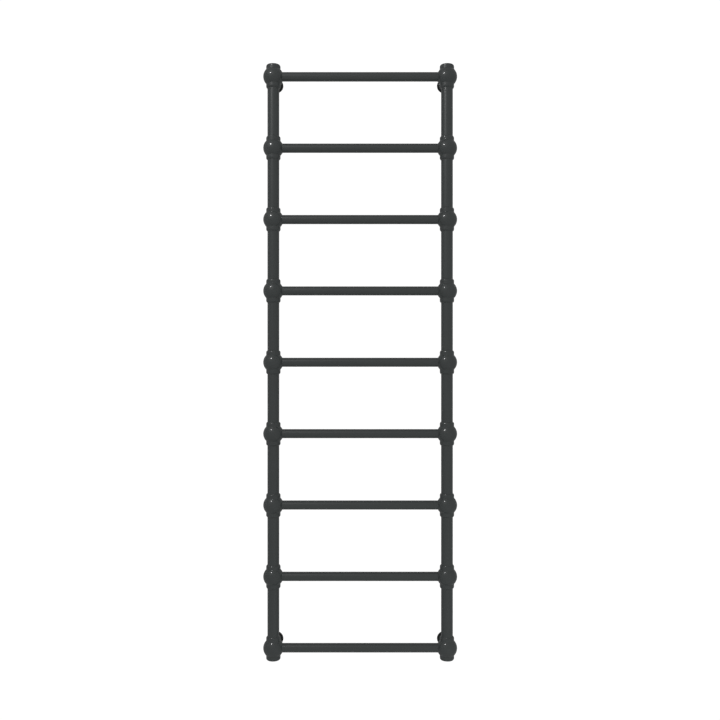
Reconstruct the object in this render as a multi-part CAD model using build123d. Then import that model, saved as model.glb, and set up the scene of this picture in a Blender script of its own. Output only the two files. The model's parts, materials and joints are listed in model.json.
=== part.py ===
"""Wall-hung ladder towel rail for a hot-water circuit, built from tubes and ball joints.

Frame: millimetres, +Z up, +X to the right of a person facing the rail, +Y into the wall.
The origin is on the wall face, in the middle of the four wall plates.
Names run from top to bottom: ball_left_1 is the top left ball, bar_9 the lowest bar.
"""

from build123d import *

import os
from math import sqrt

# The ladder
BAR_COUNT = 9
BAR_PITCH = 178.0
UPRIGHT_SPACING = 433.0
WALL_TO_UPRIGHT = 70.0

# Tubes, with their coat
UPRIGHT_RADIUS = 29.3 / 2
BAR_RADIUS = 22.7 / 2
TUBE_WALL = 1.5

# Ball joints: a ball with a collar above and below, both bored for the tubes
BALL_RADIUS = 25.2
COLLAR_RADIUS = 17.8
COLLAR_REACH = 29.0
LIP_HEIGHT = 4.3
LIP_END_RADIUS = 15.6
LIP_EDGE = 0.3
NECK_FILLET = 1.2
UPRIGHT_SEAT = 14.0
BAR_SEAT = 14.5
SOCKET_GAP = 0.05
SOCKET_CHAMFER = 0.5
TUBE_END_CHAMFER = 0.4

# How far a cutter runs on past the surface that it opens
CUTTER_REACH = 4.0

# Half-inch pipe ports at the open ends of the uprights, drawn at the thread's minor diameter
PORT_RADIUS = 18.63 / 2
PORT_LENGTH = 14.0
PORT_CHAMFER = 1.0
PORT_WATERWAY_RADIUS = 8.5
THREAD_GAP = 0.05

# Plugs that close the two top ports, sunk flush into a counterbore
PLUG_HEAD_RADIUS = 12.0
PLUG_HEAD_THICKNESS = 2.2
PLUG_HEAD_GAP = 0.3
PLUG_EDGE = 0.4
PLUG_END = 15.0
WASHER_THICKNESS = 1.0
WASHER_BORE_RADIUS = 9.6
PLUG_HEX_ACROSS_FLATS = 12.0
BLANKING_HEX_DEPTH = 8.0
VENT_HEX_DEPTH = 5.0

# Bleed screw in the vent plug, heights above the centre of its ball
SPINDLE_RADIUS = 3.0
SPINDLE_GAP = 0.05
SPINDLE_HEAD_SIDE = 5.0
SPINDLE_HEAD_EDGE = 0.4
SPINDLE_HEAD_TOP = 27.9
SPINDLE_HEAD_FOOT = 24.3
SPINDLE_SEAT = 17.0
SPINDLE_CONE_TOP = 18.3
SPINDLE_CONE_RADIUS = 2.6
SPINDLE_TIP_RADIUS = 1.4
INLET_RADIUS = 1.5
GROOVE_CENTRE = 19.7
GROOVE_WIDTH = 1.4
GROOVE_RADIUS = 1.88
RING_CENTRE_RADIUS = 2.43
RING_SECTION_RADIUS = 0.5
OUTLET_RADIUS = 0.7
OUTLET_OFFSET = 4.4
OUTLET_HEIGHT = 18.0

# Wall stays: plate and pin on the wall, stem over the pin, stud into the ball
PLATE_RADIUS = 16.5
PLATE_THICKNESS = 3.0
PIN_RADIUS = 5.0
PIN_LENGTH = 21.0
SCREW_HOLE_RADIUS = 2.25
SCREW_HEAD_RADIUS = 4.0
SCREW_SPACING = 23.6
STEM_RADIUS = 7.5
STEM_SOCKET_DEPTH = 22.0
STUD_RADIUS = 4.0
STUD_LENGTH = 8.0
STUD_HOLE_SPARE = 0.5
GRUB_RADIUS = 2.0
GRUB_FROM_WALL = 16.0
GRUB_RECESS = 0.2
GRUB_HEX_ACROSS_FLATS = 2.0
GRUB_HEX_DEPTH = 1.4

# Loose rose that slides along the stem and hides the plate
ROSE_RADIUS = 18.5
ROSE_DEPTH = 9.0
ROSE_RIM = 2.5
ROSE_FACE_RADIUS = 13.8
ROSE_INNER_FACE_RADIUS = 13.3
ROSE_WALL = 1.5
ROSE_HOLE_GAP = 0.1
ROSE_EDGE = 0.3
ROSE_FACE_FILLET = 1.5

BALL_TO_STEM = sqrt(BALL_RADIUS**2 - STEM_RADIUS**2)
STEM_END = WALL_TO_UPRIGHT - BALL_TO_STEM
WATERWAY_RADIUS = UPRIGHT_RADIUS - TUBE_WALL
PLUG_HEAD_FOOT = COLLAR_REACH - PLUG_HEAD_THICKNESS
LEFT = -1
RIGHT = 1
SIDES = {"left": LEFT, "right": RIGHT}
ENDS = {"top": 1, "bottom": -1}


def bar_height(number):
    """Height of a bar, counted from 1 at the top, above the middle of the rail."""
    return ((BAR_COUNT + 1) / 2 - number) * BAR_PITCH


def rod(radius, low, high):
    """A solid round rod on the Z axis between two heights."""
    return Pos(0, 0, low) * Cylinder(radius, high - low, align=(Align.CENTER, Align.CENTER, Align.MIN))


def tube(outer_radius, inner_radius, low, high):
    """A tube on the Z axis between two heights."""
    return rod(outer_radius, low, high) - rod(inner_radius, low, high)


def cone(low_radius, high_radius, low, high):
    """A cone frustum on the Z axis between two heights."""
    frustum = Cone(low_radius, high_radius, high - low, align=(Align.CENTER, Align.CENTER, Align.MIN))
    return Pos(0, 0, low) * frustum


def hexagon_bar(across_flats, low, high):
    """A hexagonal bar on the Z axis, used to cut key sockets."""
    outline = RegularPolygon(across_flats / 2, 6, major_radius=False)
    return Pos(0, 0, low) * extrude(outline, high - low)


def rounded(face, corner, radius):
    """A flat face with the corner at one point rounded."""
    nearest = face.vertices().sort_by_distance(Vector(*corner))[0]
    return fillet(nearest, radius)


def turned(face):
    """The solid that a flat outline, with radius along X and height along Y, sweeps round the Z axis."""
    return revolve(Plane.XZ * face, Axis.Z)


def turned_from(points):
    """The solid that a closed outline of (radius, height) points sweeps round the Z axis."""
    return turned(make_face(Polyline(*points, close=True)))


def turned_ball():
    """The outside of a ball joint: a ball between two collars with rounded lips."""
    neck = sqrt(BALL_RADIUS**2 - COLLAR_RADIUS**2)
    lip_start = COLLAR_REACH - LIP_HEIGHT
    outline = Polyline((LIP_END_RADIUS, COLLAR_REACH), (0, COLLAR_REACH), (0, -COLLAR_REACH),
                       (LIP_END_RADIUS, -COLLAR_REACH))
    outline += ThreePointArc((COLLAR_RADIUS, -neck), (BALL_RADIUS, 0), (COLLAR_RADIUS, neck))
    for end in ENDS.values():
        outline += Line((COLLAR_RADIUS, end * neck), (COLLAR_RADIUS, end * lip_start))
        outline += TangentArc((COLLAR_RADIUS, end * lip_start), (LIP_END_RADIUS, end * COLLAR_REACH),
                              tangent=(0, end))
    face = make_face(outline)
    for end in ENDS.values():
        face = rounded(face, (COLLAR_RADIUS, end * neck), NECK_FILLET)
        face = rounded(face, (LIP_END_RADIUS, end * COLLAR_REACH), LIP_EDGE)
    return turned(face)


def socket_cutter(radius, seat, mouth, waterway_radius):
    """A socket along +Z with a chamfered mouth, and the narrower waterway from the centre to its seat."""
    chamfer_start = mouth - SOCKET_CHAMFER
    chamfer_end = chamfer_start + CUTTER_REACH
    return turned_from([(0, 0), (waterway_radius, 0), (waterway_radius, seat), (radius, seat),
                        (radius, chamfer_start), (radius + CUTTER_REACH, chamfer_end), (0, chamfer_end)])


def bar_socket(side):
    """The cutter for the bar's socket, which faces the opposite upright."""
    radius = BAR_RADIUS + SOCKET_GAP
    mouth = sqrt(BALL_RADIUS**2 - radius**2)
    return Rot(0, -90 * side, 0) * socket_cutter(radius, BAR_SEAT, mouth, BAR_RADIUS - TUBE_WALL)


def upright_socket(end):
    """The cutter for an upright's socket, above the ball (end 1) or below it (end -1)."""
    radius = UPRIGHT_RADIUS + SOCKET_GAP
    return Rot(0, 90 - 90 * end, 0) * socket_cutter(radius, UPRIGHT_SEAT, COLLAR_REACH, WATERWAY_RADIUS)


def open_port(end):
    """The cutter for a threaded pipe port with a chamfered mouth."""
    mouth = COLLAR_REACH - PORT_CHAMFER
    seat = mouth - PORT_LENGTH
    chamfer_end = mouth + CUTTER_REACH
    cutter = turned_from([(0, 0), (PORT_WATERWAY_RADIUS, 0), (PORT_WATERWAY_RADIUS, seat),
                          (PORT_RADIUS, seat), (PORT_RADIUS, mouth),
                          (PORT_RADIUS + CUTTER_REACH, chamfer_end), (0, chamfer_end)])
    return Rot(0, 90 - 90 * end, 0) * cutter


def plugged_port(end):
    """The cutter for a threaded pipe port with a counterbore for a flush plug."""
    floor = PLUG_HEAD_FOOT - WASHER_THICKNESS
    seat = floor - PORT_LENGTH
    bore = PLUG_HEAD_RADIUS + PLUG_HEAD_GAP
    top = COLLAR_REACH + CUTTER_REACH
    cutter = turned_from([(0, 0), (PORT_WATERWAY_RADIUS, 0), (PORT_WATERWAY_RADIUS, seat),
                          (PORT_RADIUS, seat), (PORT_RADIUS, floor), (bore, floor), (bore, top), (0, top)])
    return Rot(0, 90 - 90 * end, 0) * cutter


def stay_seat():
    """The cutter for the flat and the tapped hole that take the stem, at the back of the ball."""
    flat = rod(STEM_RADIUS + SOCKET_GAP, BALL_TO_STEM, BALL_RADIUS + CUTTER_REACH)
    hole = rod(STUD_RADIUS, BALL_TO_STEM - STUD_LENGTH - STUD_HOLE_SPARE, BALL_TO_STEM)
    return Rot(-90, 0, 0) * (flat + hole)


def ball(side, number):
    """A ball joint, bored for its tubes; the four corner balls also carry a wall stay."""
    body = turned_ball() - bar_socket(side)
    if number == 1:
        body -= plugged_port(1)
    else:
        body -= upright_socket(1)
    if number == BAR_COUNT:
        body -= open_port(-1)
    else:
        body -= upright_socket(-1)
    if number in (1, BAR_COUNT):
        body -= stay_seat()
    return body


def cut_length(radius, half_length):
    """A length of tube centred on the origin, with both ends deburred."""
    body = tube(radius, radius - TUBE_WALL, -half_length, half_length)
    end_rims = body.edges().filter_by(GeomType.CIRCLE)
    outer_rims = end_rims.filter_by(lambda edge: edge.radius > radius - TUBE_WALL / 2)
    return chamfer(outer_rims, TUBE_END_CHAMFER)


def upright_tube():
    """One length of an upright, between the seats of two balls."""
    return cut_length(UPRIGHT_RADIUS, BAR_PITCH / 2 - UPRIGHT_SEAT)


def bar():
    """A hollow bar between the seats of a left and a right ball."""
    return Rot(0, 90, 0) * cut_length(BAR_RADIUS, UPRIGHT_SPACING / 2 - BAR_SEAT)


def plug_blank(hex_depth):
    """A flush plug: a round head over a threaded shank, with a hexagon key socket."""
    head = rod(PLUG_HEAD_RADIUS, PLUG_HEAD_FOOT, COLLAR_REACH)
    head = chamfer(head.edges().group_by(Axis.Z)[-1], PLUG_EDGE)
    shank = rod(PORT_RADIUS - THREAD_GAP, PLUG_END, PLUG_HEAD_FOOT)
    shank = chamfer(shank.edges().group_by(Axis.Z)[0], PLUG_EDGE)
    key_socket = hexagon_bar(PLUG_HEX_ACROSS_FLATS, COLLAR_REACH - hex_depth, COLLAR_REACH)
    lead_in = cone(PLUG_HEX_ACROSS_FLATS / 2, PLUG_HEX_ACROSS_FLATS / 2 + 2 * PLUG_EDGE,
                   COLLAR_REACH - 2 * PLUG_EDGE, COLLAR_REACH)
    return head + shank - key_socket - lead_in


def vent_plug():
    """The plug that holds the bleed screw, with a seat below it and an outlet beside it."""
    floor = COLLAR_REACH - VENT_HEX_DEPTH
    screw_bore = rod(SPINDLE_RADIUS, SPINDLE_SEAT, floor)
    inlet = rod(INLET_RADIUS, PLUG_END, SPINDLE_SEAT)
    outlet = Pos(OUTLET_OFFSET, 0, 0) * rod(OUTLET_RADIUS, OUTLET_HEIGHT, floor)
    gallery = Pos(0, 0, OUTLET_HEIGHT) * Rot(0, 90, 0) * rod(OUTLET_RADIUS, 0, OUTLET_OFFSET)
    return plug_blank(VENT_HEX_DEPTH) - screw_bore - inlet - outlet - gallery


def vent_spindle():
    """The bleed screw: a square head for the key, a threaded shank, a ring groove and a cone tip."""
    head_height = SPINDLE_HEAD_TOP - SPINDLE_HEAD_FOOT
    head = Pos(0, 0, SPINDLE_HEAD_FOOT) * Box(
        SPINDLE_HEAD_SIDE, SPINDLE_HEAD_SIDE, head_height, align=(Align.CENTER, Align.CENTER, Align.MIN))
    head = chamfer(head.edges().group_by(Axis.Z)[-1], SPINDLE_HEAD_EDGE)
    shank = rod(SPINDLE_RADIUS - SPINDLE_GAP, SPINDLE_CONE_TOP, SPINDLE_HEAD_FOOT)
    groove = tube(SPINDLE_RADIUS, GROOVE_RADIUS,
                  GROOVE_CENTRE - GROOVE_WIDTH / 2, GROOVE_CENTRE + GROOVE_WIDTH / 2)
    tip = cone(SPINDLE_TIP_RADIUS, SPINDLE_CONE_RADIUS, SPINDLE_SEAT, SPINDLE_CONE_TOP)
    return head + shank + tip - groove


def vent_ring():
    """The O-ring in the bleed screw's groove."""
    return Pos(0, 0, GROOVE_CENTRE) * Torus(RING_CENTRE_RADIUS, RING_SECTION_RADIUS)


def plug_washer():
    """The sealing washer under a plug's head."""
    return tube(PLUG_HEAD_RADIUS, WASHER_BORE_RADIUS, PLUG_HEAD_FOOT - WASHER_THICKNESS, PLUG_HEAD_FOOT)


def wall_plate():
    """A plate with two countersunk screw holes and a pin; here +Z points away from the wall."""
    plate = rod(PLATE_RADIUS, 0, PLATE_THICKNESS)
    pin = rod(PIN_RADIUS, PLATE_THICKNESS, PLATE_THICKNESS + PIN_LENGTH)
    sink_depth = SCREW_HEAD_RADIUS - SCREW_HOLE_RADIUS
    hole = rod(SCREW_HOLE_RADIUS, 0, PLATE_THICKNESS)
    hole += cone(SCREW_HOLE_RADIUS, SCREW_HEAD_RADIUS, PLATE_THICKNESS - sink_depth, PLATE_THICKNESS)
    holes = Pos(0, SCREW_SPACING / 2, 0) * hole + Pos(0, -SCREW_SPACING / 2, 0) * hole
    return plate + pin - holes


def stem():
    """The stem over the wall plate's pin, with the stud that screws into the ball."""
    body = rod(STEM_RADIUS, PLATE_THICKNESS, STEM_END)
    stud = rod(STUD_RADIUS - THREAD_GAP, STEM_END, STEM_END + STUD_LENGTH)
    socket = rod(PIN_RADIUS + SOCKET_GAP, PLATE_THICKNESS, PLATE_THICKNESS + STEM_SOCKET_DEPTH)
    grub_hole = Pos(0, 0, GRUB_FROM_WALL) * Rot(90, 0, 0) * rod(GRUB_RADIUS, 0, STEM_RADIUS + CUTTER_REACH)
    return body + stud - socket - grub_hole


def grub_screw():
    """The screw that clamps a stem on its pin, from below, just under the stem's surface."""
    outer_end = STEM_RADIUS - GRUB_RECESS
    shank = rod(GRUB_RADIUS - THREAD_GAP, PIN_RADIUS, outer_end)
    key_socket = hexagon_bar(GRUB_HEX_ACROSS_FLATS, outer_end - GRUB_HEX_DEPTH, outer_end)
    return Pos(0, 0, GRUB_FROM_WALL) * Rot(90, 0, 0) * (shank - key_socket)


def rose():
    """A hollow round cover with a rounded shoulder and a hole for the stem."""
    inner_rim = ROSE_RADIUS - ROSE_WALL
    inner_depth = ROSE_DEPTH - ROSE_WALL
    hole = STEM_RADIUS + ROSE_HOLE_GAP
    outline = Polyline((inner_rim, ROSE_RIM), (inner_rim, 0), (ROSE_RADIUS, 0), (ROSE_RADIUS, ROSE_RIM))
    outline += TangentArc((ROSE_RADIUS, ROSE_RIM), (ROSE_FACE_RADIUS, ROSE_DEPTH), tangent=(0, 1))
    outline += Polyline((ROSE_FACE_RADIUS, ROSE_DEPTH), (hole, ROSE_DEPTH), (hole, inner_depth),
                        (ROSE_INNER_FACE_RADIUS, inner_depth))
    outline += TangentArc((inner_rim, ROSE_RIM), (ROSE_INNER_FACE_RADIUS, inner_depth), tangent=(0, 1))
    face = make_face(outline)
    face = rounded(face, (ROSE_RADIUS, 0), ROSE_EDGE)
    face = rounded(face, (ROSE_FACE_RADIUS, ROSE_DEPTH), ROSE_FACE_FILLET)
    face = rounded(face, (hole, ROSE_DEPTH), ROSE_EDGE)
    return turned(face)


def at_joint(side, number, piece):
    """Place a piece that was made around the centre of its ball."""
    return Pos(side * UPRIGHT_SPACING / 2, -WALL_TO_UPRIGHT, bar_height(number)) * piece


def on_wall(side, end, piece):
    """Place a wall stay piece that was made with +Z pointing away from the wall."""
    return Pos(side * UPRIGHT_SPACING / 2, 0, end * bar_height(1)) * Rot(90, 0, 0) * piece


def on_every_stay(piece):
    """One copy of a piece at each of the four wall stays, as a group of separate solids."""
    return Compound(children=[on_wall(side, end, piece) for end in ENDS.values() for side in SIDES.values()])


def all_nodes():
    """Every sub-part by its node name."""
    nodes = {}
    for side_name, side in SIDES.items():
        for number in range(1, BAR_COUNT + 1):
            nodes[f"ball_{side_name}_{number}"] = at_joint(side, number, ball(side, number))
        for number in range(1, BAR_COUNT):
            nodes[f"upright_{side_name}_{number}"] = at_joint(side, number + 0.5, upright_tube())
    for number in range(1, BAR_COUNT + 1):
        nodes[f"bar_{number}"] = Pos(0, -WALL_TO_UPRIGHT, bar_height(number)) * bar()
    for end_name, end in ENDS.items():
        for side_name, side in SIDES.items():
            nodes[f"stem_{end_name}_{side_name}"] = on_wall(side, end, stem())
            nodes[f"rose_{end_name}_{side_name}"] = on_wall(side, end, rose())
    nodes["wall_plates"] = on_every_stay(wall_plate())
    nodes["grub_screws"] = on_every_stay(grub_screw())
    nodes["blanking_plug"] = at_joint(LEFT, 1, plug_blank(BLANKING_HEX_DEPTH))
    nodes["vent_plug"] = at_joint(RIGHT, 1, vent_plug())
    nodes["vent_spindle"] = at_joint(RIGHT, 1, vent_spindle())
    nodes["vent_ring"] = at_joint(RIGHT, 1, vent_ring())
    nodes["plug_washers"] = Compound(children=[at_joint(side, 1, plug_washer()) for side in SIDES.values()])
    return nodes


os.makedirs("parts", exist_ok=True)
for node_name, shape in all_nodes().items():
    export_step(shape, f"parts/{node_name}.step")
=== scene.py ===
"""Looks for the ladder towel rail: satin anthracite coat, studio light and the front camera.

Everything is in metres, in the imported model's frame: the wall is at y = 0, the front faces -Y, +Z is up.
"""

import json
import math
import random

import bmesh
import bpy
from mathutils import Matrix, Vector, noise


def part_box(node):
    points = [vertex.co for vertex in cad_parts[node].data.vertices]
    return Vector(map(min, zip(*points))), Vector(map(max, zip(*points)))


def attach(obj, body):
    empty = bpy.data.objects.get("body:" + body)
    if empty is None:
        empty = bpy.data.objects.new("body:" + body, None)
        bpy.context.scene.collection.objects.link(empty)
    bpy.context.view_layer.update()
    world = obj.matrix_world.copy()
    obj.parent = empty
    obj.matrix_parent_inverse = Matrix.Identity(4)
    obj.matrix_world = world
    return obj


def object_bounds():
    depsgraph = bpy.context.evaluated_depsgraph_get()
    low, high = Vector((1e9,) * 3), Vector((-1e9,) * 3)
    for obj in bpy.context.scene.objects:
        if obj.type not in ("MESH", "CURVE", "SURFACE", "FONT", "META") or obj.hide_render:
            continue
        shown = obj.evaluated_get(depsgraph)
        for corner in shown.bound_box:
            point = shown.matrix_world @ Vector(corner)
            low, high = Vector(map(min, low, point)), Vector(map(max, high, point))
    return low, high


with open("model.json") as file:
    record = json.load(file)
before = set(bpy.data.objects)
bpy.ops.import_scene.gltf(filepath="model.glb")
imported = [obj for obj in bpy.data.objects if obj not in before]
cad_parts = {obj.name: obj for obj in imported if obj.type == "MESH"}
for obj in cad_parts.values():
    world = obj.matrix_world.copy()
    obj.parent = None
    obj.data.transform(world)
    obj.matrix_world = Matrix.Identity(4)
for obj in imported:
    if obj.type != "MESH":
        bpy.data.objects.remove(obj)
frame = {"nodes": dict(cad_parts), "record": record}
cad_low, cad_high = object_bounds()
random.seed(7)

MM = 0.001
SIDES = ("left", "right")

# Colours are linear
ANTHRACITE = (0.0430, 0.0512, 0.0510)
ROSE_ANTHRACITE = (0.0500, 0.0580, 0.0575)
COAT_WORN = (0.120, 0.127, 0.124)
DUST = (0.30, 0.29, 0.27)
BRASS = (0.62, 0.43, 0.17)
BRASS_DULL = (0.40, 0.25, 0.09)
ZINC = (0.52, 0.54, 0.56)
ZINC_SPANGLE = (0.42, 0.43, 0.47)
BLACK_OXIDE = (0.030, 0.030, 0.034)
STEEL_RUBBED = (0.22, 0.22, 0.23)
RUBBER = (0.018, 0.018, 0.019)
RUBBER_BLOOM = (0.05, 0.05, 0.05)

# Relief of the surfaces, and how far from an edge the coat or the oxide is rubbed
PEEL_DEPTH = 0.08 * MM
GRAIN_DEPTH = 0.02 * MM
OXIDE_DEPTH = 0.01 * MM
COAT_EDGE = 0.6 * MM
STEEL_EDGE = 0.3 * MM

# Shine of the powder coat
COAT_IOR = 1.6
COAT_SPECULAR = 0.3

# Fillets of braze: their legs, how far they sink into the tube, how far past the mouth of the socket their
# hollow starts, and how far a bar's fillet is set back into the ball
UPRIGHT_FILLET_LEG = 0.6 * MM
BAR_FILLET_LEG = 0.5 * MM
FILLET_SINK = 0.06 * MM
FILLET_RISE = 0.1 * MM
BAR_FILLET_SETBACK = 0.15 * MM
FILLET_UNEVENNESS = 0.10 * MM
FILLET_NOISE_SCALE = 4.0
FILLET_SEGMENTS = 96
FILLET_ARC_STEPS = 5

# Keeps the three fillets of a ball from being alike
SEED_STEP = 3.0

# Half-inch pipe thread, a ridge just proud of the bore: it starts some of a turn above the port's mouth, and
# rises to its full height and falls again over half a turn
THREAD_PITCH = 1.814 * MM
THREAD_HEIGHT = 0.16 * MM
THREAD_SINK = 0.05 * MM
THREAD_HALF_FOOT = 0.40 * THREAD_PITCH
THREAD_HALF_CREST = 0.07 * THREAD_PITCH
THREAD_START_TURN = 0.7
THREAD_RUN_OUT_TURNS = 0.5
THREAD_SEGMENTS = 72

# Camera: its distance from the uprights, its place from the rail's middle, and its lens and sensor in mm
CAMERA_DISTANCE = 2.048
CAMERA_ASIDE = -0.4 * MM
CAMERA_ABOVE = 5.7 * MM
LENS = 41.05
SENSOR_WIDTH = 36.0

# Each light's name, place, width and power in watts, and whether it also makes reflections
LIGHTS = (
    ("key", (-1.0, -1.5, 1.63), 0.30, 6.2, "gloss too"),
    ("sparkle", (-1.0, -1.5, 1.63), 0.34, 14.0, "gloss only"),
    ("back_fill", (0.0, 2.6, 0.5), 1.2, 26.0, "no gloss"),
    ("left_fill", (-2.5, 0.7, 0.4), 1.2, 6.0, "no gloss"),
    ("right_fill", (2.5, 0.7, 0.4), 1.2, 6.0, "no gloss"),
    ("low_fill", (0.6, -1.3, -1.1), 1.2, 3.5, "no gloss"),
)
FLOOR_DROP = 0.45
ROOM_RADIUS = 12.0
BACKDROP_GLOW = 1.05


# ---------------------------------------------------------------- materials

class Nodes:
    """A material's node tree, with short calls to add and link nodes."""

    def __init__(self, name):
        self.material = bpy.data.materials.new(name)
        self.material.use_nodes = True
        self.tree = self.material.node_tree
        self.shader = self.tree.nodes["Principled BSDF"]
        self.place = self.add("ShaderNodeTexCoord").outputs["Object"]

    def add(self, kind, **settings):
        node = self.tree.nodes.new(kind)
        for key, value in settings.items():
            setattr(node, key, value)
        return node

    def link(self, source, target):
        self.tree.links.new(source, target)

    def noise(self, scale, detail=2.0, roughness=0.5, stretch=None):
        """Noise of a given scale per metre, as a value from 0 to 1."""
        texture = self.add("ShaderNodeTexNoise")
        texture.inputs["Scale"].default_value = scale
        texture.inputs["Detail"].default_value = detail
        texture.inputs["Roughness"].default_value = roughness
        if stretch is None:
            self.link(self.place, texture.inputs["Vector"])
        else:
            mapping = self.add("ShaderNodeMapping")
            mapping.inputs["Scale"].default_value = stretch
            self.link(self.place, mapping.inputs["Vector"])
            self.link(mapping.outputs["Vector"], texture.inputs["Vector"])
        return texture.outputs["Fac"]

    def remap(self, value, low, high, new_low, new_high):
        """A value from low to high, mapped to new_low to new_high and held there beyond."""
        node = self.add("ShaderNodeMapRange")
        ends = (("From Min", low), ("From Max", high), ("To Min", new_low), ("To Max", new_high))
        for name, number in ends:
            node.inputs[name].default_value = number
        self.link(value, node.inputs["Value"])
        return node.outputs["Result"]

    def math(self, operation, first, second):
        """A sum or product of two values, each a number or another node's output."""
        node = self.add("ShaderNodeMath", operation=operation)
        for socket, value in zip(node.inputs, (first, second)):
            if isinstance(value, (int, float)):
                socket.default_value = value
            else:
                self.link(value, socket)
        return node.outputs["Value"]

    def mix(self, factor, first, second):
        """A colour between two colours, each a tuple or another node's output."""
        node = self.add("ShaderNodeMix", data_type="RGBA")
        for socket, value in ((node.inputs[6], first), (node.inputs[7], second)):
            if isinstance(value, tuple):
                socket.default_value = (*value, 1.0)
            else:
                self.link(value, socket)
        self.link(factor, node.inputs["Factor"])
        return node.outputs[2]

    def edges(self, radius):
        """1 along convex and concave edges and 0 on smooth surfaces."""
        rounded = self.add("ShaderNodeBevel", samples=4)
        rounded.inputs["Radius"].default_value = radius
        geometry = self.add("ShaderNodeNewGeometry")
        dot = self.add("ShaderNodeVectorMath", operation="DOT_PRODUCT")
        self.link(rounded.outputs["Normal"], dot.inputs[0])
        self.link(geometry.outputs["Normal"], dot.inputs[1])
        return self.remap(dot.outputs["Value"], 0.99, 0.90, 0.0, 1.0)

    def facing(self, axis, start, full):
        """0 to 1 as the part of the surface's normal along an axis goes from start to full."""
        geometry = self.add("ShaderNodeNewGeometry")
        split = self.add("ShaderNodeSeparateXYZ")
        self.link(geometry.outputs["Normal"], split.inputs["Vector"])
        return self.remap(split.outputs[axis], start, full, 0.0, 1.0)

    def facing_up(self):
        return self.facing("Z", 0.55, 1.0)

    # The mask for the painted shade: 1 where the surface faces the room, 0 where it faces sideways or back
    def facing_the_room(self):
        return self.facing("Y", -0.80, -0.98)

    def bump(self, height, distance, strength, under=None):
        """A normal tilted by a height, on top of another bump if one is given."""
        node = self.add("ShaderNodeBump")
        node.inputs["Distance"].default_value = distance
        node.inputs["Strength"].default_value = strength
        self.link(height, node.inputs["Height"])
        if under is not None:
            self.link(under, node.inputs["Normal"])
        return node.outputs["Normal"]

    def set(self, **sockets):
        """Set or link the shader's own sockets, with _ for a space in their names."""
        for name, value in sockets.items():
            socket = self.shader.inputs[name.replace("_", " ")]
            if isinstance(value, bpy.types.NodeSocket):
                self.link(value, socket)
            elif isinstance(value, tuple):
                socket.default_value = (*value, 1.0)
            else:
                socket.default_value = value


def shade(colour, share):
    """A colour made darker or lighter."""
    return tuple(share * part for part in colour)


def powder_coat(name, base=ANTHRACITE, gloss=0.12, peel=0.5, shine=0.8, painted_shade_sides=1.0):
    """Satin powder coat: orange peel, fine grain, slow tone drift, rubbed edges, a trace of dust, and
    painted shade on what doesn't face the room where asked.

    gloss is the roughness of the clear top layer, shine its strength, peel the orange peel's strength,
    and the last argument the share of the base colour kept on what doesn't face the room, as painted shade.
    """
    n = Nodes(name)
    drift = n.remap(n.noise(14.0, 3.0), 0.3, 0.7, 0.0, 1.0)
    tone = n.mix(drift, shade(base, 0.94), shade(base, 1.06))
    mottle = n.remap(n.noise(750.0, 4.0, 0.7), 0.35, 0.65, 0.0, 0.5)
    tone = n.mix(mottle, tone, shade(base, 0.78))
    flecks = n.remap(n.noise(2600.0, 2.0), 0.60, 0.70, 0.0, 0.6)
    tone = n.mix(flecks, tone, shade(base, 1.7))
    # Painted shade: what doesn't face the room is darkened to a share of the base colour, so the roses'
    # shoulders look shaded from every side
    if painted_shade_sides < 1.0:
        tone = n.mix(n.facing_the_room(), shade(base, painted_shade_sides), tone)
    wear = n.remap(n.noise(60.0, 4.0), 0.42, 0.62, 0.05, 0.55)
    rubbed = n.math("MULTIPLY", n.edges(COAT_EDGE), wear)
    tone = n.mix(rubbed, tone, COAT_WORN)
    settled = n.remap(n.noise(260.0, 5.0, 0.7), 0.45, 0.75, 0.0, 0.10)
    dust = n.math("MULTIPLY", n.facing_up(), settled)
    tone = n.mix(dust, tone, DUST)
    orange_peel = n.noise(430.0, 2.0, 0.45)
    grain = n.noise(2400.0, 2.0)
    rough = n.remap(n.noise(900.0, 3.0), 0.3, 0.7, 0.40, 0.50)
    rough = n.math("ADD", rough, dust)
    normal = n.bump(grain, GRAIN_DEPTH, 0.5)
    normal = n.bump(orange_peel, PEEL_DEPTH, peel, normal)
    n.set(Base_Color=tone, Roughness=rough, Normal=normal)
    n.set(Specular_IOR_Level=COAT_SPECULAR * shine, Coat_IOR=COAT_IOR)
    n.set(Coat_Weight=shine, Coat_Roughness=gloss)
    return n.material


def turned_brass(name):
    """Turned brass with fine rings from the tool, dulled in patches."""
    n = Nodes(name)
    patches = n.remap(n.noise(160.0, 4.0), 0.35, 0.7, 0.0, 1.0)
    tone = n.mix(patches, BRASS, BRASS_DULL)
    rings = n.noise(1500.0, 2.0, stretch=(0.15, 0.15, 2.5))
    rough = n.remap(patches, 0.0, 1.0, 0.22, 0.42)
    n.set(Base_Color=tone, Roughness=rough, Normal=n.bump(rings, GRAIN_DEPTH, 0.5), Metallic=1.0)
    return n.material


def zinc_plate(name):
    """Bright zinc plating on pressed steel, with a faint spangle."""
    n = Nodes(name)
    spangle = n.remap(n.noise(420.0, 5.0, 0.6), 0.35, 0.65, 0.0, 1.0)
    tone = n.mix(spangle, ZINC, ZINC_SPANGLE)
    rough = n.remap(spangle, 0.0, 1.0, 0.26, 0.40)
    relief = n.bump(n.noise(1400.0, 3.0), GRAIN_DEPTH, 0.4)
    n.set(Base_Color=tone, Roughness=rough, Normal=relief, Metallic=1.0)
    return n.material


def black_oxide(name):
    """Black oxide steel of the grub screws, bright where a key has rubbed the edges."""
    n = Nodes(name)
    tone = n.mix(n.edges(STEEL_EDGE), BLACK_OXIDE, STEEL_RUBBED)
    rough = n.remap(n.noise(900.0, 3.0), 0.3, 0.7, 0.30, 0.46)
    relief = n.bump(n.noise(2600.0, 2.0), OXIDE_DEPTH, 0.5)
    n.set(Base_Color=tone, Roughness=rough, Normal=relief, Metallic=0.8)
    return n.material


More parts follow.
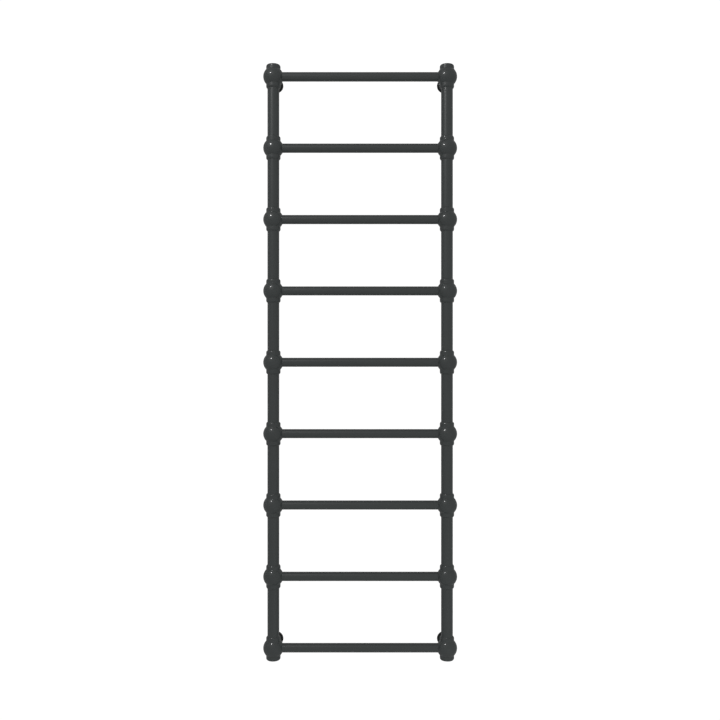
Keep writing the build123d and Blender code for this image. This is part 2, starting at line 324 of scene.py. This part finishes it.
def black_rubber(name):
    """Matt sealing rubber with a faint bloom."""
    n = Nodes(name)
    bloom = n.remap(n.noise(300.0, 4.0), 0.45, 0.75, 0.0, 0.5)
    tone = n.mix(bloom, RUBBER, RUBBER_BLOOM)
    rough = n.remap(bloom, 0.0, 0.5, 0.62, 0.82)
    n.set(Base_Color=tone, Roughness=rough, Normal=n.bump(n.noise(2200.0, 2.0), GRAIN_DEPTH, 0.6))
    return n.material


def paint(piece, material):
    """Give a piece one material all over."""
    piece.data.materials.clear()
    piece.data.materials.append(material)


def coat_everything():
    """Finish every CAD node with the material of its slot in the record; returns the materials."""
    finishes = {
        "ball_coat": powder_coat("ball_coat", gloss=0.06),
        "tube_coat": powder_coat("tube_coat", gloss=0.15, peel=0.4),
        # The roses' sides and shoulders get painted shade
        "rose_coat": powder_coat("rose_coat", ROSE_ANTHRACITE, gloss=0.20, shine=0.28, painted_shade_sides=0.18),
        "plug_coat": powder_coat("plug_coat", gloss=0.16, peel=0.35),
        "brass": turned_brass("turned_brass"),
        "rubber": black_rubber("black_rubber"),
        "black_steel": black_oxide("black_oxide"),
        "zinc_steel": zinc_plate("zinc_plate"),
    }
    for entry in frame["record"]["subparts"]:
        paint(frame["nodes"][entry["node"]], finishes[entry["material_slot"]])
    return finishes


# ---------------------------------------------------------------- brazed joints and pipe threads

def centre_of(node):
    low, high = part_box(node)
    return (low + high) / 2


def size_of(node):
    low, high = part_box(node)
    return high - low


def joint_centre(side, number):
    """The centre of a ball, where the axes of its bar and its upright cross."""
    upright = centre_of(f"upright_{side}_1")
    return Vector((upright.x, upright.y, centre_of(f"bar_{number}").z))


def add_piece(name, mesh_builder, material):
    """Turn a bmesh into a smooth piece that rides on the rail."""
    mesh = bpy.data.meshes.new(name)
    bmesh.ops.recalc_face_normals(mesh_builder, faces=mesh_builder.faces)
    mesh_builder.to_mesh(mesh)
    mesh_builder.free()
    mesh.shade_smooth()
    piece = bpy.data.objects.new(name, mesh)
    bpy.context.scene.collection.objects.link(piece)
    paint(piece, material)
    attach(piece, "rail")
    return piece


def bridge(mesh_builder, first, second):
    """Faces between two closed loops with the same number of vertices."""
    count = len(first)
    for i in range(count):
        j = (i + 1) % count
        mesh_builder.faces.new((first[i], first[j], second[j], second[i]))


def braze_ring(mesh_builder, place, profile, seed):
    """A fillet of braze round a tube, a closed (radius, height) profile with a slightly uneven front."""
    middle_radius = sum(radius for radius, height in profile) / len(profile)
    loops = []
    for step in range(FILLET_SEGMENTS):
        angle = math.tau * step / FILLET_SEGMENTS
        around = Vector((math.cos(angle), math.sin(angle), 0.0))
        swell = FILLET_UNEVENNESS * noise.noise(FILLET_NOISE_SCALE * around + Vector((0.0, 0.0, seed)))
        loop = []
        for radius, height in profile:
            outward = swell if radius > middle_radius else 0.0
            local = (radius + outward) * around + Vector((0.0, 0.0, height + swell))
            loop.append(mesh_builder.verts.new(place @ local))
        loops.append(loop)
    for step in range(FILLET_SEGMENTS):
        bridge(mesh_builder, loops[step], loops[(step + 1) % FILLET_SEGMENTS])


def fillet_profile(tube_radius, mouth, leg):
    """A hollow fillet between a tube and the mouth of its socket, running a little way into the groove."""
    inside = tube_radius - FILLET_SINK
    arc_start = mouth + FILLET_RISE
    profile = [
        (inside, mouth - leg),
        (tube_radius + 0.5 * leg, mouth - 0.5 * leg),
        (tube_radius + leg, mouth),
    ]
    for step in range(1, FILLET_ARC_STEPS):
        angle = math.pi / 2 * step / FILLET_ARC_STEPS
        outward = leg * (1.0 - math.sin(angle))
        along = leg * (1.0 - math.cos(angle))
        profile.append((tube_radius + outward, arc_start + along))
    profile.append((inside, arc_start + leg))
    return profile


def braze_every_ball(material):
    """The fillets where the uprights and bars enter the balls, one piece for each ball."""
    upright_radius = size_of("upright_left_1").x / 2
    bar_radius = size_of("bar_1").z / 2
    collar_reach = size_of("ball_left_2").z / 2
    ball_radius = size_of("ball_left_2").y / 2
    upright_fillet = fillet_profile(upright_radius, collar_reach, UPRIGHT_FILLET_LEG)
    bar_mouth = math.sqrt(ball_radius**2 - bar_radius**2)
    bar_fillet = fillet_profile(bar_radius, bar_mouth - BAR_FILLET_SETBACK, BAR_FILLET_LEG)
    lowest = sum(1 for node in frame["nodes"] if node.startswith("bar_"))
    for side in SIDES:
        for number in range(1, lowest + 1):
            rings = bmesh.new()
            centre = joint_centre(side, number)
            seed = random.uniform(0.0, 100.0)
            toward_bar = math.radians(90.0 if side == "left" else -90.0)
            place = Matrix.Translation(centre) @ Matrix.Rotation(toward_bar, 4, "Y")
            braze_ring(rings, place, bar_fillet, seed)
            if number > 1:
                braze_ring(rings, Matrix.Translation(centre), upright_fillet, seed + SEED_STEP)
            if number < lowest:
                place = Matrix.Translation(centre) @ Matrix.Rotation(math.pi, 4, "X")
                braze_ring(rings, place, upright_fillet, seed + 2 * SEED_STEP)
            add_piece(f"braze_{side}_{number}", rings, material)


def pipe_thread(name, mouth, bore, length, material):
    """The turns of a half-inch pipe thread, drawn as a fine ridge just proud of the port's bore."""
    turns = int(length / THREAD_PITCH) - 1
    root = bore + THREAD_SINK
    thread = bmesh.new()
    loops = []
    for step in range(turns * THREAD_SEGMENTS + 1):
        turn = step / THREAD_SEGMENTS
        angle = math.tau * turn
        share_of_height = min(1.0, min(turn, turns - turn) / THREAD_RUN_OUT_TURNS)
        crest = bore - THREAD_HEIGHT * share_of_height
        climb = THREAD_PITCH * (THREAD_START_TURN + turn)
        ridge = (
            (root, -THREAD_HALF_FOOT),
            (crest, -THREAD_HALF_CREST),
            (crest, THREAD_HALF_CREST),
            (root, THREAD_HALF_FOOT),
        )
        loop = []
        for radius, shift in ridge:
            local = Vector((radius * math.cos(angle), radius * math.sin(angle), climb + shift))
            loop.append(thread.verts.new(mouth + local))
        loops.append(loop)
    for first, second in zip(loops, loops[1:]):
        bridge(thread, first, second)
    thread.faces.new(loops[0])
    thread.faces.new(loops[-1])
    add_piece(name, thread, material)


def thread_the_ports(material):
    """Bare steel threads in the two open ports at the feet of the uprights."""
    for mount in frame["record"]["mounts"]:
        if mount["kind"] == "threaded_hole":
            length = mount["dims"]["length_mm"] * MM
            mouth = Vector(mount["pos_m"])
            mouth.z -= length / 2
            name = mount["name"].replace("pipe_port", "port_thread")
            pipe_thread(name, mouth, mount["dims"]["r_mm"] * MM, length, material)


# ---------------------------------------------------------------- studio

def look_from(obj, place, target):
    """Put a light or camera at a place, aimed at a target."""
    obj.location = place
    obj.rotation_euler = (Vector(target) - Vector(place)).to_track_quat("-Z", "Y").to_euler()


def area_light(name, place, target, size, power):
    """A round white light that the camera doesn't see."""
    data = bpy.data.lights.new(name, "AREA")
    data.shape = "DISK"
    data.size = size
    data.energy = power
    light = bpy.data.objects.new(name, data)
    bpy.context.scene.collection.objects.link(light)
    light.visible_camera = False
    look_from(light, place, target)
    return light


def studio_sky(front, back, above, below):
    """Soft light from all round, with its strength set for the front, back, top and bottom."""
    world = bpy.data.worlds.new("studio")
    bpy.context.scene.world = world
    world.use_nodes = True
    tree = world.node_tree
    background = tree.nodes["Background"]
    direction = tree.nodes.new("ShaderNodeTexCoord").outputs["Generated"]
    split = tree.nodes.new("ShaderNodeSeparateXYZ")
    tree.links.new(direction, split.inputs["Vector"])
    strengths = []
    for axis, low, high in (("Y", front, back), ("Z", below, above)):
        ramp = tree.nodes.new("ShaderNodeMapRange")
        ramp.interpolation_type = "SMOOTHSTEP"
        ramp.inputs["From Min"].default_value = -1.0
        ramp.inputs["From Max"].default_value = 1.0
        ramp.inputs["To Min"].default_value = low
        ramp.inputs["To Max"].default_value = high
        tree.links.new(split.outputs[axis], ramp.inputs["Value"])
        strengths.append(ramp.outputs["Result"])
    product = tree.nodes.new("ShaderNodeMath")
    product.operation = "MULTIPLY"
    tree.links.new(strengths[0], product.inputs[0])
    tree.links.new(strengths[1], product.inputs[1])
    tree.links.new(product.outputs["Value"], background.inputs["Strength"])
    background.inputs["Color"].default_value = (1.0, 1.0, 1.0, 1.0)


def glowing_white(name, strength):
    """Plain white that looks the same from everywhere."""
    material = bpy.data.materials.new(name)
    material.use_nodes = True
    tree = material.node_tree
    tree.nodes.remove(tree.nodes["Principled BSDF"])
    emission = tree.nodes.new("ShaderNodeEmission")
    emission.inputs["Strength"].default_value = strength
    tree.links.new(emission.outputs["Emission"], tree.nodes["Material Output"].inputs["Surface"])
    return material


def only_for_camera(obj):
    """The backdrop shows white without lighting the object or throwing its own shadow."""
    obj.visible_diffuse = False
    obj.visible_glossy = False
    obj.visible_transmission = False
    obj.visible_shadow = False


def backdrop(centre):
    """A plain pale floor well below the rail, inside a plain white room."""
    mesh = bpy.data.meshes.new("floor")
    height = cad_low.z - FLOOR_DROP
    signs = ((-1, -1), (1, -1), (1, 1), (-1, 1))
    corners = [(x * ROOM_RADIUS, y * ROOM_RADIUS, height) for x, y in signs]
    mesh.from_pydata(corners, [], [(0, 1, 2, 3)])
    floor = bpy.data.objects.new("floor", mesh)
    shell = bmesh.new()
    bmesh.ops.create_icosphere(shell, subdivisions=4, radius=ROOM_RADIUS, matrix=Matrix.Translation(centre))
    room_mesh = bpy.data.meshes.new("room")
    shell.to_mesh(room_mesh)
    shell.free()
    room = bpy.data.objects.new("room", room_mesh)
    white = glowing_white("studio_white", BACKDROP_GLOW)
    for obj in (floor, room):
        bpy.context.scene.collection.objects.link(obj)
        obj.data.materials.append(white)
        only_for_camera(obj)


def front_camera(centre, upright_plane):
    """The camera stands square to the rail and level, a few mm above its middle."""
    data = bpy.data.cameras.new("camera")
    data.sensor_width = SENSOR_WIDTH
    data.lens = LENS
    camera = bpy.data.objects.new("camera", data)
    bpy.context.scene.collection.objects.link(camera)
    camera.location = (
        centre.x + CAMERA_ASIDE,
        upright_plane - CAMERA_DISTANCE,
        centre.z + CAMERA_ABOVE,
    )
    camera.rotation_euler = (math.radians(90.0), 0.0, 0.0)
    bpy.context.scene.camera = camera


def light_the_studio(centre):
    """A soft sky, a key light with its sparkle, and fills that leave the glossy highlights alone."""
    scene = bpy.context.scene
    scene.view_settings.view_transform = "Standard"
    scene.view_settings.look = "None"
    scene.view_settings.exposure = 0.0
    scene.view_settings.gamma = 1.0
    studio_sky(front=0.43, back=0.24, above=0.99, below=0.92)
    for name, place, size, power, reach in LIGHTS:
        light = area_light(name, place, centre, size, power)
        light.visible_diffuse = reach != "gloss only"
        light.visible_glossy = reach != "no gloss"


# ---------------------------------------------------------------- scene

middle = (cad_low + cad_high) / 2
bar_low, bar_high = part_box("bar_1")
front_camera(middle, (bar_low.y + bar_high.y) / 2)
backdrop(middle)
light_the_studio(middle)
finishes = coat_everything()
braze_every_ball(finishes["ball_coat"])
thread_the_ports(finishes["zinc_steel"])
